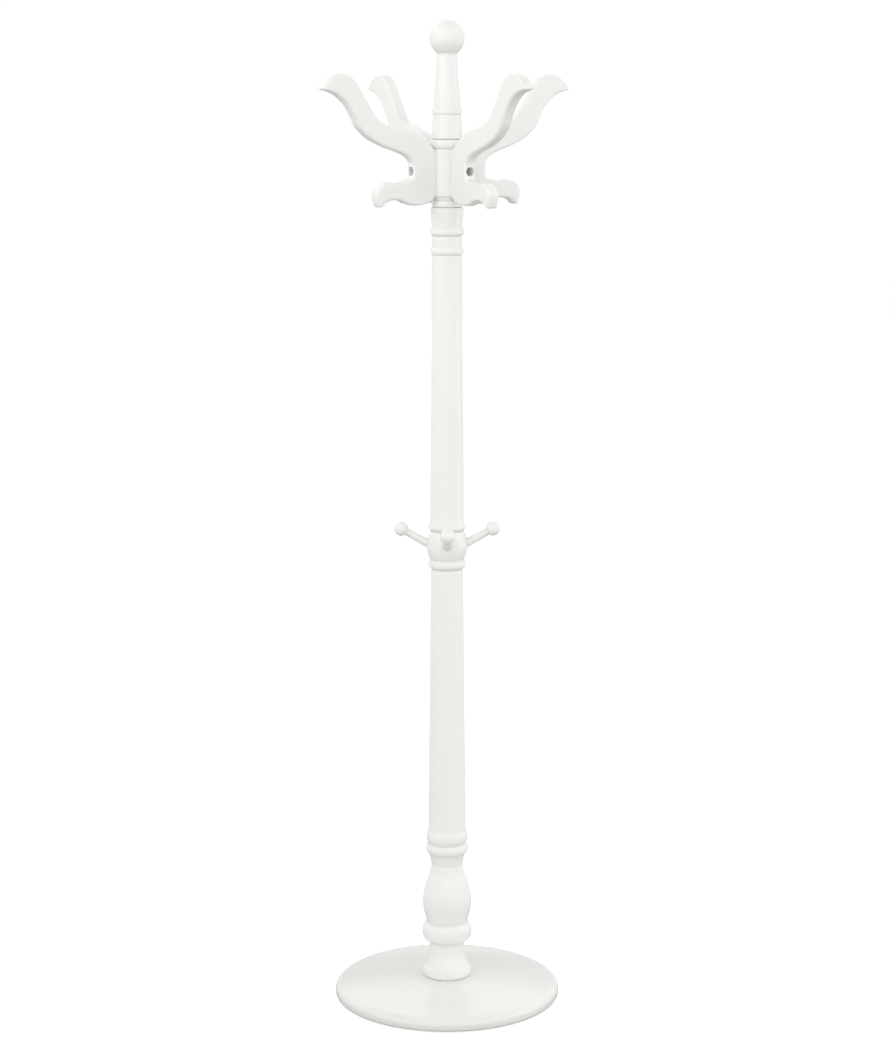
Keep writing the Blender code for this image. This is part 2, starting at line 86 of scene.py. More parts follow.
def ranged(tree, value, low, high, to_low, to_high):
    """Map a value from one range to another, held at both ends."""
    node = tree.nodes.new("ShaderNodeMapRange")
    node.inputs["From Min"].default_value = low
    node.inputs["From Max"].default_value = high
    node.inputs["To Min"].default_value = to_low
    node.inputs["To Max"].default_value = to_high
    tree.links.new(value, node.inputs["Value"])
    return node.outputs["Result"]


def mixed(tree, amount, first, second):
    """Mix two colours. Each is a tuple or a socket."""
    node = tree.nodes.new("ShaderNodeMix")
    node.data_type = "RGBA"
    tree.links.new(amount, node.inputs[0])
    for socket, colour in ((node.inputs[6], first), (node.inputs[7], second)):
        if isinstance(colour, tuple):
            socket.default_value = (*colour, 1.0)
        else:
            tree.links.new(colour, socket)
    return node.outputs[2]


def tinted(tree, value, low, high, most, tone, tint):
    """Mix a tint into a tone as a value goes from low to high, up to the most that it may take."""
    return mixed(tree, ranged(tree, value, low, high, 0.0, most), tone, tint)


def roughened(tree, shader, value, low, high, smoothest, roughest):
    """Let a value set a shader's roughness as it goes from low to high."""
    tree.links.new(ranged(tree, value, low, high, smoothest, roughest), shader.inputs["Roughness"])


def attribute(tree, name):
    """A value that the mesh carries at each point."""
    node = tree.nodes.new("ShaderNodeAttribute")
    node.attribute_name = name
    return node.outputs["Fac"]


def combined(tree, operation, first, second):
    """The result of a Math node on two values. Each is a number or a socket."""
    node = tree.nodes.new("ShaderNodeMath")
    node.operation = operation
    for socket, value in zip(node.inputs, (first, second)):
        if isinstance(value, (int, float)):
            socket.default_value = value
        else:
            tree.links.new(value, socket)
    return node.outputs[0]


def bumped(tree, shader, layers):
    """Stack bump layers of (height, depth in metres) on a shader's normal."""
    before = None
    for height, depth in layers:
        node = tree.nodes.new("ShaderNodeBump")
        node.inputs["Distance"].default_value = depth
        tree.links.new(height, node.inputs["Height"])
        if before is not None:
            tree.links.new(before, node.inputs["Normal"])
        before = node.outputs["Normal"]
    tree.links.new(before, shader.inputs["Normal"])


# ---------------------------------------------------------------- materials
def lacquer(name, grain_axis):
    """White semi-gloss lacquer over wood whose grain runs along one axis.

    It has a fine orange peel, a trace of the grain under it and a soft mottle in its tone. Painted shade
    makes it darker in the hollows, and it is thinner and warmer on the crests.
    """
    made = bpy.data.materials.new(name)
    tree, shader = new_tree(made)
    along = [1.0 if axis == grain_axis else 26.0 for axis in "XYZ"]
    grain = noise(tree, along, 34.0, 2.0, 0.4)
    mottle = noise(tree, EVEN, 7.0, 2.0)
    peel = noise(tree, EVEN, 420.0, 2.0, 0.45)
    ripple = noise(tree, EVEN, 62.0, 1.0)
    tone = tinted(tree, mottle, 0.35, 0.65, 1.0, (0.842, 0.834, 0.808), (0.858, 0.851, 0.829))
    tone = tinted(tree, grain, 0.42, 0.72, 0.35, tone, (0.828, 0.818, 0.788))
    # painted shade: the tone turns darker and browner where the outline lies in a hollow, standing in for
    # shade in the grooves
    tone = tinted(tree, attribute(tree, "hollow"), 0.1, 1.0, 0.3, tone, (0.720, 0.700, 0.655))
    tone = tinted(tree, attribute(tree, "crest"), 0.2, 1.0, 0.3, tone, (0.840, 0.815, 0.765))
    tree.links.new(tone, shader.inputs["Base Color"])
    roughened(tree, shader, combined(tree, "ADD", mottle, grain), 0.7, 1.3, 0.30, 0.40)
    shader.inputs["Coat Weight"].default_value = 0.4
    shader.inputs["Coat Roughness"].default_value = 0.12
    bumped(tree, shader, [(grain, 0.000012), (ripple, 0.00010), (peel, 0.000012)])
    return made


def zinc_steel():
    """Zinc-plated steel: a cool grey with faint spangle, drawn lines and duller patches."""
    made = bpy.data.materials.new("zinc_plated_steel")
    tree, shader = new_tree(made)
    spangle = noise(tree, EVEN, 900.0, 2.0)
    drawn = noise(tree, (1.0, 1.0, 30.0), 160.0, 3.0)
    tone = tinted(tree, spangle, 0.35, 0.65, 1.0, (0.50, 0.51, 0.52), (0.60, 0.61, 0.62))
    tree.links.new(tone, shader.inputs["Base Color"])
    roughened(tree, shader, drawn, 0.3, 0.7, 0.28, 0.46)
    shader.inputs["Metallic"].default_value = 1.0
    bumped(tree, shader, [(drawn, 0.00002), (spangle, 0.00001)])
    return made


def turned_brass():
    """Plain brass with turning lines and a slight tarnish."""
    made = bpy.data.materials.new("turned_brass")
    tree, shader = new_tree(made)
    lines = noise(tree, (2.0, 2.0, 60.0), 90.0, 2.0)
    tarnish = noise(tree, EVEN, 220.0, 4.0)
    tone = tinted(tree, tarnish, 0.4, 0.7, 1.0, (0.72, 0.55, 0.26), (0.55, 0.38, 0.17))
    tree.links.new(tone, shader.inputs["Base Color"])
    roughened(tree, shader, tarnish, 0.3, 0.7, 0.24, 0.42)
    shader.inputs["Metallic"].default_value = 1.0
    bumped(tree, shader, [(lines, 0.00002)])
    return made


def bare_beech():
    """Bare beech: pale brown with fine darker flecks."""
    made = bpy.data.materials.new("bare_beech")
    tree, shader = new_tree(made)
    figure = noise(tree, (1.0, 1.0, 6.0), 300.0, 4.0)
    flecks = noise(tree, (1.0, 1.0, 3.0), 1500.0, 1.0)
    tone = tinted(tree, figure, 0.3, 0.7, 1.0, (0.70, 0.51, 0.32), (0.60, 0.41, 0.24))
    tone = tinted(tree, flecks, 0.62, 0.72, 0.6, tone, (0.42, 0.26, 0.14))
    tree.links.new(tone, shader.inputs["Base Color"])
    roughened(tree, shader, figure, 0.3, 0.7, 0.62, 0.78)
    bumped(tree, shader, [(figure, 0.00005), (flecks, 0.00003)])
    return made


def moulded_nylon():
    """Matt moulded nylon with a spark-eroded texture."""
    made = bpy.data.materials.new("moulded_nylon")
    tree, shader = new_tree(made)
    texture = noise(tree, EVEN, 1800.0, 2.0)
    cloud = noise(tree, EVEN, 120.0, 2.0)
    tone = mixed(tree, cloud, (0.72, 0.72, 0.70), (0.78, 0.78, 0.76))
    tree.links.new(tone, shader.inputs["Base Color"])
    roughened(tree, shader, texture, 0.3, 0.7, 0.46, 0.60)
    bumped(tree, shader, [(texture, 0.00004)])
    return made


# ---------------------------------------------------------------- outlines
def smooth(knots, steps):
    """A Catmull-Rom curve through the knots, with this many points from one knot to the next."""
    ends = [knots[0], *knots, knots[-1]]
    curve = []
    for before, start, end, after in zip(ends, ends[1:], ends[2:], ends[3:]):
        for step in range(steps):
            t = step / steps
            curve.append(tuple(
                0.5 * (2 * b + (c - a) * t + (2 * a - 5 * b + 4 * c - d) * t ** 2
                       + (3 * b - a - 3 * c + d) * t ** 3)
                for a, b, c, d in zip(before, start, end, after)))
    curve.append(knots[-1])
    return curve


def bead(edge_radius, peak_radius, top_z, bottom_z, steps=12):
    """The outside of a half-round ring, from its top edge down to its bottom edge."""
    middle = (top_z + bottom_z) / 2
    half = (top_z - bottom_z) / 2
    rise = peak_radius - edge_radius
    angles = [math.pi * step / steps for step in range(steps + 1)]
    return [(edge_radius + rise * math.sin(a), middle + half * math.cos(a)) for a in angles]


def quarter(start, end, steps):
    """A quarter of an ellipse that leaves start along the radius and reaches end along the height."""
    width = end[0] - start[0]
    height = end[1] - start[1]
    angles = [math.pi / 2 * step / steps for step in range(steps + 1)]
    return [(start[0] + width * math.sin(a), start[1] + height * (1 - math.cos(a))) for a in angles]


def ball(radius, middle_z, neck_radius, steps, half_height=None):
    """A ball's outline from its top down to its neck. It may be taller than it is wide."""
    upright = half_height or radius
    last_angle = math.pi - math.asin(neck_radius / radius)
    angles = [last_angle * step / steps for step in range(steps + 1)]
    outline = [(radius * math.sin(a), middle_z + upright * math.cos(a)) for a in angles]
    return [(0.0, middle_z + upright)] + outline[1:]


def raised(outline, lift):
    """Move an outline up."""
    return [(radius, height + lift) for radius, height in outline]


def softened(outline, corner=SOFT_CORNER):
    """Round each sharp corner of an outline, and add supporting points beside corners and on long runs."""
    points = [Vector(point) for point in outline]
    least_turn = math.radians(14)
    soft = [points[0]]
    for before, point, after in zip(points, points[1:], points[2:]):
        come = point - before
        leave = after - point
        if point.x < 1e-6 or come.length < 1e-9 or leave.length < 1e-9 or come.angle(leave) < least_turn:
            soft.append(point)
            continue
        start = point - come.normalized() * min(corner, 0.45 * come.length)
        end = point + leave.normalized() * min(corner, 0.45 * leave.length)
        for t in (0.0, 0.25, 0.5, 0.75, 1.0):
            soft.append(start * (1 - t) ** 2 + point * 2 * t * (1 - t) + end * t ** 2)
    soft.append(points[-1])
    supported = [soft[0]]
    longest = 0.024
    for start, end in zip(soft, soft[1:]):
        run = end - start
        margin = corner * 1.5
        if run.length > 5 * corner:
            first = start + run.normalized() * margin
            last = end - run.normalized() * margin
            parts = max(1, math.ceil((run.length - 2 * margin) / longest))
            supported.append(first)
            supported += [first.lerp(last, part / parts) for part in range(1, parts + 1)]
        supported.append(end)
    return [(point.x, point.y) for point in supported]


# ---------------------------------------------------------------- meshes
def placed(name, data):
    """Put a new object with this mesh, lamp or camera in the scene."""
    made = bpy.data.objects.new(name, data)
    bpy.context.collection.objects.link(made)
    return made


def shaded(mesh):
    """Smooth a mesh over its round sides and keep its sharp edges."""
    mesh.shade_smooth()
    mesh.set_sharp_from_angle(angle=SHARP_ANGLE)
    return mesh


def finish_mesh(name, work):
    """Turn a bmesh into a mesh that faces out and is smooth over its round sides."""
    bmesh.ops.remove_doubles(work, verts=work.verts, dist=MERGE_DISTANCE)
    bmesh.ops.recalc_face_normals(work, faces=work.faces)
    mesh = bpy.data.meshes.new(name)
    work.to_mesh(mesh)
    work.free()
    return shaded(mesh)


def relief(outline, reach=0.004, depth=0.0012):
    """How deep each point of an outline lies in a hollow, and how far it stands on a crest, from 0 to 1.

    Both are measured from the chord between the places that lie a reach before and after it on the outline.
    """
    points = [Vector(point) for point in outline]
    travelled = [0.0]
    for before, after in zip(points, points[1:]):
        travelled.append(travelled[-1] + (after - before).length)

    def place(distance):
        later = bisect.bisect_right(travelled, distance)
        if later == 0 or later == len(points):
            return points[min(later, len(points) - 1)]
        share = (distance - travelled[later - 1]) / (travelled[later] - travelled[later - 1])
        return points[later - 1].lerp(points[later], share)

    hollows = []
    crests = []
    for point, distance in zip(points, travelled):
        start = place(distance - reach)
        chord = place(distance + reach) - start
        outward = Vector((-chord.y, chord.x)).normalized()
        rise = (point - start).dot(outward) / depth
        hollows.append(min(1.0, max(0.0, -rise)))
        crests.append(min(1.0, max(0.0, rise)))
    return hollows, crests


def turned_mesh(name, outline, sides, closed=False):
    """Turn an outline of (radius, height) points about Z. It ends on the axis, or closes on itself."""
    work = bmesh.new()
    hollow_layer = work.verts.layers.float.new("hollow")
    crest_layer = work.verts.layers.float.new("crest")
    hollows, crests = relief(outline)
    rings = []
    for (radius, height), hollow, crest in zip(outline, hollows, crests):
        if radius == 0.0:
            rings.append([work.verts.new((0.0, 0.0, height))] * sides)
            continue
        ring = []
        for side in range(sides):
            angle = 2 * math.pi * side / sides
            point = work.verts.new((radius * math.cos(angle), radius * math.sin(angle), height))
            point[hollow_layer] = hollow
            point[crest_layer] = crest
            ring.append(point)
        rings.append(ring)
    pairs = list(zip(rings, rings[1:]))
    if closed:
        pairs.append((rings[-1], rings[0]))
    for upper, lower in pairs:
        for side in range(sides):
            after = (side + 1) % sides
            distinct = list(dict.fromkeys([upper[side], lower[side], lower[after], upper[after]]))
            if len(distinct) > 2:
                work.faces.new(distinct)
    return finish_mesh(name, work)


def show(name, mesh, look, slot, *nodes):
    """Put a finished mesh in the scene as a piece that stands for its CAD nodes and rides on the body."""
    mesh.materials.clear()
    mesh.materials.append(look)
    made = placed(name, mesh)
    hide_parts(*nodes)
    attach(made, BODY)
    return made


def worked(mesh, tools, operation):
    """Apply each tool, a pair of closed mesh and place, to a mesh with this Boolean operation."""
    solid = placed("solid", mesh)
    made = []
    for tool, place in tools:
        helper = placed("tool", tool)
        helper.matrix_world = place
        made.append(helper)
        step = solid.modifiers.new("step", "BOOLEAN")
        step.operation = operation
        step.solver = "EXACT"
        step.object = helper
    bpy.context.view_layer.update()
    graph = bpy.context.evaluated_depsgraph_get()
    result = bpy.data.meshes.new_from_object(solid.evaluated_get(graph))
    result.name = mesh.name
    for leftover in [solid, *made]:
        bpy.data.objects.remove(leftover)
    return shaded(result)


def carved(mesh, tools):
    """A mesh with each tool, a pair of closed mesh and place, cut out of it."""
    return worked(mesh, tools, "DIFFERENCE")


def along_x(height, angle=0.0, reach=0.0, rise=0.0):
    """A frame whose Z axis points outward from the post at this angle, and up by the rise."""
    turn = Matrix.Rotation(angle, 4, "Z")
    shift = Matrix.Translation((reach, 0.0, height))
    tip = Matrix.Rotation(math.pi / 2 - rise, 4, "Y")
    return turn @ shift @ tip


def middle_of(node):
    """The middle of a CAD node's box."""
    low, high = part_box(node)
    return (low + high) / 2


def half_size(node):
    """Half the size of a CAD node's box along each axis."""
    low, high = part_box(node)
    return (high - low) / 2


# ---------------------------------------------------------------- the turned sections, top to bottom
STUD_BORE = 0.0053           # radius of a stud's hole
INSERT_BORE = 0.0078         # radius of a threaded insert's hole
BORE_DEPTH = 0.025           # depth of both
BOLT_BORE = 0.0055           # radius of the hole for the base's bolt, in the base and its washer
HUB_RADIUS = 0.0310
HUB_BORE_DEPTHS = {"insert": 0.015, "dowel": 0.0125}


def joint_below(node):
    """The height of the plane where a section meets the one below it."""
    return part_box(node)[0].z - GAP / 2


def length_of(node):
    """The distance between the planes at a section's two ends."""
    low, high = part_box(node)
    return high.z - low.z + GAP


def stud_bore():
    """The hole for a joint's stud at a section's foot, from its mouth to its end."""
    return [(STUD_BORE, GAP / 2), (STUD_BORE, BORE_DEPTH), (0.0, BORE_DEPTH)]


def insert_bore(length):
    """The hole for a joint's threaded insert in a section's top, from its end to its mouth."""
    end = length - BORE_DEPTH
    return [(0.0, end), (INSERT_BORE, end), (INSERT_BORE, length - GAP / 2)]


def section(node, outline):
    """The mesh of a turned section, from its outline above the plane at its foot."""
    return turned_mesh(node, raised(softened(outline), joint_below(node)), POST_SIDES)


def finial_mesh():
    """Ball, tapered neck, bead and collar."""
    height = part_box("finial")[1].z - joint_below("finial")
    ball_half_height = 0.0325
    top = ball(0.0308, height - ball_half_height, 0.0182, 30, ball_half_height)
    neck = smooth([(0.0177, 0.147), (0.0178, 0.140), (0.0187, 0.132), (0.0193, 0.115), (0.0205, 0.095),
                   (0.0227, 0.078), (0.0238, 0.055)], 5)
    collar = smooth([(0.0250, 0.041), (0.0257, 0.027), (0.0272, 0.007)], 5)
    return section("finial", [
        *top, *neck, *bead(0.0244, 0.0264, 0.0525, 0.0435), *collar, (0.0272, 0.002), (0.0258, GAP / 2),
        *stud_bore()])


def head_hub_mesh():
    """Round head with a bead at each end, bored for the hooks' inserts and dowels."""
    length = length_of("head_hub")
    foot = smooth([(HUB_RADIUS, 0.0230), (0.0301, 0.0195), (0.0272, 0.0170)], 5)
    hub = section("head_hub", [
        *insert_bore(length), *bead(0.0282, 0.0322, length - GAP, 0.1035), (HUB_RADIUS, 0.101),
        *foot, (0.0277, 0.0145), (0.0255, 0.0128),
        *bead(0.0258, 0.0275, 0.0122, GAP), *stud_bore()])
    outside = HUB_RADIUS + 0.01
    tools = []
    for index in range(1, 5):
        for kind, depth in HUB_BORE_DEPTHS.items():
            node = f"hook_{kind}_{index}"
            place = middle_of(node)
            thick = half_size(node).z + GAP
            inner = HUB_RADIUS - depth
            drill = [(0.0, outside), (thick, outside), (thick, inner), (0.0, inner)]
            angle = math.atan2(place.y, place.x)
            tools.append((turned_mesh("drill", drill, SMALL_SIDES), along_x(place.z, angle)))
    return carved(hub, tools)


def upper_shaft_mesh():
    """Slender tapered section: two rings and a cove at its top, one ring at its foot."""
    length = length_of("upper_shaft")
    cove = smooth([(0.0292, 0.578), (0.0280, 0.565), (0.0268, 0.552)], 5)
    foot = smooth([(0.0312, 0.045), (0.0314, 0.023), (0.0330, 0.0116)], 6)
    return section("upper_shaft", [
        *insert_bore(length), (0.0280, length - GAP / 2), (0.0292, 0.5845), *cove,
        *bead(0.0272, 0.0304, 0.549, 0.536), (0.0258, 0.535), (0.0268, 0.531), (0.0268, 0.516),
        *bead(0.0272, 0.0294, 0.514, 0.502), (0.0260, 0.5012), (0.0265, 0.498), (0.0296, 0.245), *foot,
        *bead(0.0335, 0.0351, 0.0108, 0.0036), (0.0308, 0.0018), (0.0306, GAP / 2), *stud_bore()])


def peg_barrel_mesh():
    """Short barrel between the shafts, bored on a slant for the four pegs."""
    length = length_of("peg_barrel")
    swell = smooth([(0.0318, 0.0686), (0.0344, 0.0640), (0.0369, 0.0530), (0.0377, 0.0410),
                    (0.0363, 0.0310), (0.0332, 0.0210)], 6)
    barrel = section("peg_barrel", [
        *insert_bore(length), (0.0306, length - GAP / 2), *swell, (0.0313, 0.0190), (0.0311, 0.0172),
        *bead(0.0328, 0.0349, 0.0160, 0.0038), (0.0292, 0.0024), (0.0290, GAP / 2), *stud_bore()])
    bore = PEG_ROOT_RADIUS + GAP
    end = -PEG_TENON - GAP
    outside = 0.03
    drill = [(0.0, outside), (bore, outside), (bore, end), (0.0, end)]
    tools = [(turned_mesh("drill", drill, SMALL_SIDES), peg_frame(index)) for index in range(1, 5)]
    return carved(barrel, tools)


def lower_shaft_mesh():
    """Stouter tapered section that ends in a ring."""
    length = length_of("lower_shaft")
    return section("lower_shaft", [
        *insert_bore(length), (0.0290, length - GAP / 2), (0.0300, 0.5163),
        (0.0350, 0.0295), (0.0356, 0.0245),
        *bead(0.0362, 0.0388, 0.0230, 0.0040), (0.0352, 0.0025), (0.0350, GAP / 2), *stud_bore()])


def baluster_mesh():
    """Ring, vase, bead and flared foot."""
    length = length_of("baluster")
    bore_end = 0.034
    cove = smooth([(0.0345, 0.2372), (0.0312, 0.227), (0.0292, 0.215)], 5)
    vase = smooth([(0.0330, 0.1965), (0.0398, 0.1775), (0.0443, 0.159), (0.0455, 0.143),
                   (0.0438, 0.126), (0.0380, 0.106)], 5)
    flare = smooth([(0.0330, 0.059), (0.0334, 0.040), (0.0385, 0.023), (0.0448, 0.015)], 5)
    return section("baluster", [
        *insert_bore(length), (0.0350, length - GAP / 2),
        *bead(0.0368, 0.0396, 0.2545, 0.2390), *cove, *vase,
        *bead(0.0376, 0.0463, 0.1035, 0.0680, 20), (0.0340, 0.0650), *flare,
        (0.0455, 0.011), (0.0455, 0.004), (0.0435, GAP),
        (INSERT_BORE, GAP), (INSERT_BORE, bore_end), (0.0, bore_end)])


def base_disc_mesh():
    """Heavy round base, slightly domed, with a rounded rim and a recess for its bolt."""
    low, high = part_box("base_disc")
    radius = half_size("base_disc").x
    seat_radius = 0.047
    rim_start = (radius - 0.018, high.z - 0.0118)
    fall = high.z - rim_start[1]
    steps = 22
    parts = [step / steps for step in range(steps + 1)]
    dome = [(seat_radius + (rim_start[0] - seat_radius) * t, high.z - fall * t ** 1.6) for t in parts]
    recess_radius = half_size("base_washer").x + 0.0015
    recess_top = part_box("base_washer")[1].z + GAP
    outline = [
        (BOLT_BORE, high.z), *dome, *quarter(rim_start, (radius, low.z + 0.0095), 12)[1:],
        (radius, low.z + 0.0035), (radius - 0.002, low.z),
        (recess_radius, low.z), (recess_radius, recess_top), (BOLT_BORE, recess_top)]
    return turned_mesh("base_disc", softened(outline), 2 * POST_SIDES, closed=True)


# ---------------------------------------------------------------- double hooks
HOOK_THICKNESS = 0.022
HOOK_EDGE_ROUND = 0.005
HOOK_FACE_REACH = 0.0763


def hook_outline(steps):
    """A double hook seen from its side, as (reach from the post's axis, height above its bolt).

    It runs out along the top of the upper arm, back under it, down the bolted face, out along the lower
    hook and back beneath. Returned with its tight corners: each is a place, the share of the full rounding
    that the board's edges have there, and the distance from it at which their rounding is full.
    """
    top = smooth([(0.0080, 0.0170), (0.0200, 0.0280), (0.0360, 0.0425), (0.0550, 0.0575),
                  (0.0850, 0.0700), (0.1250, 0.0802), (0.1480, 0.0930), (0.1720, 0.1265),
                  (0.1900, 0.1545), (0.2050, 0.1665), (0.2200, 0.1695), (0.2360, 0.1660),
                  (0.2500, 0.1550), (0.2575, 0.1425)], steps)
    under = smooth([(0.2575, 0.1425), (0.2455, 0.1392), (0.2270, 0.1315), (0.2090, 0.1160),
                    (0.1960, 0.0960), (0.1860, 0.0770), (0.1640, 0.0580), (0.1350, 0.0440),
                    (0.1060, 0.0345), (0.0870, 0.0262), (0.0780, 0.0165),
                    (HOOK_FACE_REACH, 0.0060)], steps)
    lower_top = smooth([(HOOK_FACE_REACH, -0.0060), (0.0800, -0.0130), (0.0940, -0.0172),
                        (0.1080, -0.0200), (0.1210, -0.0184), (0.1330, -0.0190), (0.1440, -0.0245),
                        (0.1510, -0.0340), (0.1518, -0.0440), (0.1455, -0.0650)], steps)
    lower_under = smooth([(0.1455, -0.0650), (0.1380, -0.0600), (0.1300, -0.0530), (0.1170, -0.0497),
                          (0.1040, -0.0502), (0.0900, -0.0560), (0.0720, -0.0600), (0.0520, -0.0580),
                          (0.0360, -0.0525), (0.0240, -0.0400), (0.0080, -0.0233)], steps)
    upper = rounded_beak(top, under, 0.0040)
    lower = rounded_beak(lower_top, lower_under, 0.0095)
    tight = [(Vector(under[0]), 0.26, 0.018), (Vector(lower_under[0]), 0.9, 0.016),
             (Vector(top[0]), 0.1, 0.010), (Vector(lower_under[-1]), 0.1, 0.010)]
    return upper + lower, tight


def rounded_beak(leading, returning, cut):
    """Join two curves that meet in a sharp tip, and round the tip off within this cut on either side."""
    tip = Vector(returning[0])
    coming = [Vector(point) for point in leading if (Vector(point) - tip).length > cut]
    going = [Vector(point) for point in returning if (Vector(point) - tip).length > cut]
    start = tip + (coming[-1] - tip).normalized() * cut
    end = tip + (going[0] - tip).normalized() * cut
    parts = [part / 8 for part in range(9)]
    arc = [start * (1 - t) ** 2 + tip * 2 * t * (1 - t) + end * t ** 2 for t in parts]
    return coming + arc + going


def inset(outline, amounts):
    """Move each point of a clockwise outline inward by its own amount."""
    moved = []
    count = len(outline)
    for index, point in enumerate(outline):
        along = (outline[(index + 1) % count] - outline[index - 1]).normalized()
        moved.append(point + Vector((along.y, -along.x)) * amounts[index])
    return moved


def hook_board_mesh():
    """A double hook with its long edges rounded over, its reach along X, its thickness along Y."""
    outline, tight = hook_outline(6)
    rounding = []
    for point in outline:
        shares = [
            least + (1 - least) * (point - corner).length / distance
            for corner, least, distance in tight]
        rounding.append(HOOK_EDGE_ROUND * min(1.0, *shares))
    half = HOOK_THICKNESS / 2
    flat_margin = 1.12
    arc = [(math.radians(90 * step / 6), 1.0) for step in range(7)]
    profile = [(math.radians(90), flat_margin)] + arc[::-1]
    work = bmesh.new()
    crest_layer = work.verts.layers.float.new("crest")
    rings = []
    for side, steps in ((-1, profile), (1, profile[::-1])):
        for lean, reach in steps:
            pulled = inset(outline, [radius * (1 - math.cos(lean)) * reach for radius in rounding])
            ring = []
            for place, radius in zip(pulled, rounding):
                point = work.verts.new((place.x, side * (half - radius * (1 - math.sin(lean))), place.y))
                point[crest_layer] = math.sin(2 * lean)
                ring.append(point)
            rings.append(ring)
    count = len(outline)
    for near, far in zip(rings, rings[1:]):
        for index in range(count):
            after = (index + 1) % count
            work.faces.new((near[index], near[after], far[after], far[index]))
    work.faces.new(rings[0][::-1])
    work.faces.new(rings[-1])
    return finish_mesh("hook", work)


def hook_mesh():
    """A double hook hollowed to sit on the round head, and drilled for its bolt and dowel."""
    seat = HUB_RADIUS + GAP
    seat_tool = [(0.0, 0.08), (seat, 0.08), (seat, -0.08), (0.0, -0.08)]
    shank = 0.0043
    recess = 0.0078
    mouth_chamfer = 0.0008
    mouth = recess + mouth_chamfer
    mouth_end = HOOK_FACE_REACH - 0.0004
    recess_floor = HOOK_FACE_REACH - 0.022
    bolt_tool = [(0.0, 0.1), (mouth, 0.1), (mouth, mouth_end), (recess, mouth_end - mouth_chamfer),
                 (recess, recess_floor), (shank, recess_floor), (shank, 0.01), (0.0, 0.01)]
    dowel_node = "hook_dowel_3"
    dowel = half_size(dowel_node).z + GAP
    dowel_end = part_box(dowel_node)[1].x + GAP
    dowel_tool = [(0.0, dowel_end), (dowel, dowel_end), (dowel, 0.01), (0.0, 0.01)]
    drop = middle_of("hook_bolt_3").z - middle_of(dowel_node).z
    return carved(hook_board_mesh(), [
        (turned_mesh("seat", seat_tool, POST_SIDES), Matrix()),
        (turned_mesh("bolt_hole", bolt_tool, SMALL_SIDES), along_x(0.0)),
        (turned_mesh("dowel_hole", dowel_tool, SMALL_SIDES), along_x(-drop))])


def hook_angle(index):
    """The direction in which a hook points, from the middle of its CAD box."""
    place = middle_of(f"hook_{index}")
    return math.atan2(place.y, place.x)


def hooks(looks):
    """Four equal double hooks. A look's grain runs along its hook."""
    board = hook_mesh()
    for index in range(1, 5):
        mesh = board.copy()
        angle = hook_angle(index)
        bolt_z = middle_of(f"hook_bolt_{index}").z
        mesh.transform(Matrix.Translation((0.0, 0.0, bolt_z)) @ Matrix.Rotation(angle, 4, "Z"))
        look = looks["X"] if abs(math.cos(angle)) > 0.5 else looks["Y"]
        show(f"double_hook_{index}", mesh, look, "white_lacquer", f"hook_{index}")


# ---------------------------------------------------------------- pegs
PEG_RISE = math.radians(29.0)
PEG_ROOT_REACH = 0.0365
PEG_ROOT_RADIUS = 0.0081
PEG_NECK_RADIUS = 0.0073
PEG_BALL_RADIUS = 0.0136
PEG_TENON = 0.018


def peg_ball(index):
    """The middle of a peg's ball, from the corner of its CAD box that is furthest from the post."""
    low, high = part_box(f"peg_{index}")
    far = [h - PEG_BALL_RADIUS if h > -l else l + PEG_BALL_RADIUS for l, h in zip(low, high)]
    return Vector(far)


def peg_frame(index):
    """A peg's own frame: its origin on the barrel's surface, its Z axis along the peg."""
    place = peg_ball(index)
    reach = place.xy.length
    root_z = place.z - (reach - PEG_ROOT_REACH) * math.tan(PEG_RISE)
    return along_x(root_z, math.atan2(place.y, place.x), PEG_ROOT_REACH, PEG_RISE)


def pegs(look):
    """Four turned pegs: a tenon in the barrel, a tapered stem and a ball."""
    for index in range(1, 5):
        ball_at = (peg_ball(index).xy.length - PEG_ROOT_REACH) / math.cos(PEG_RISE)
        outline = [*ball(PEG_BALL_RADIUS, ball_at, PEG_NECK_RADIUS, 20), (PEG_ROOT_RADIUS, 0.0),
                   (PEG_ROOT_RADIUS, -PEG_TENON), (0.0, -PEG_TENON)]
        mesh = turned_mesh("peg", softened(outline), SMALL_SIDES)
        mesh.transform(peg_frame(index))
        show(f"turned_peg_{index}", mesh, look, "white_lacquer", f"peg_{index}")


# ---------------------------------------------------------------- hardware that shows
def hook_bolts(look):
    """Socket-head bolts, deep in the hooks' outer faces."""
    low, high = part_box("hook_bolt_3")
    head_radius = half_size("hook_bolt_3").z
    head_top = high.x
    head_base = head_top - 0.008
    shank = 0.004
    edge = 0.0006
    outline = [(0.0, head_top), (head_radius - edge, head_top), (head_radius, head_top - edge),
               (head_radius, head_base), (shank, head_base), (shank, low.x + edge), (shank - edge, low.x),
               (0.0, low.x)]
    socket = [(0.0, head_top + 0.002), (0.0035, head_top + 0.002), (0.0035, head_top - 0.004),
              (0.0, head_top - 0.0046)]
    bolt = carved(turned_mesh("bolt", softened(outline, 0.0002), SMALL_SIDES),
                  [(turned_mesh("socket", socket, 6), Matrix())])
    for index in range(1, 5):
        mesh = bolt.copy()
        mesh.transform(along_x(middle_of(f"hook_bolt_{index}").z, hook_angle(index)))
        show(f"socket_bolt_{index}", mesh, look, "zinc_steel", f"hook_bolt_{index}")


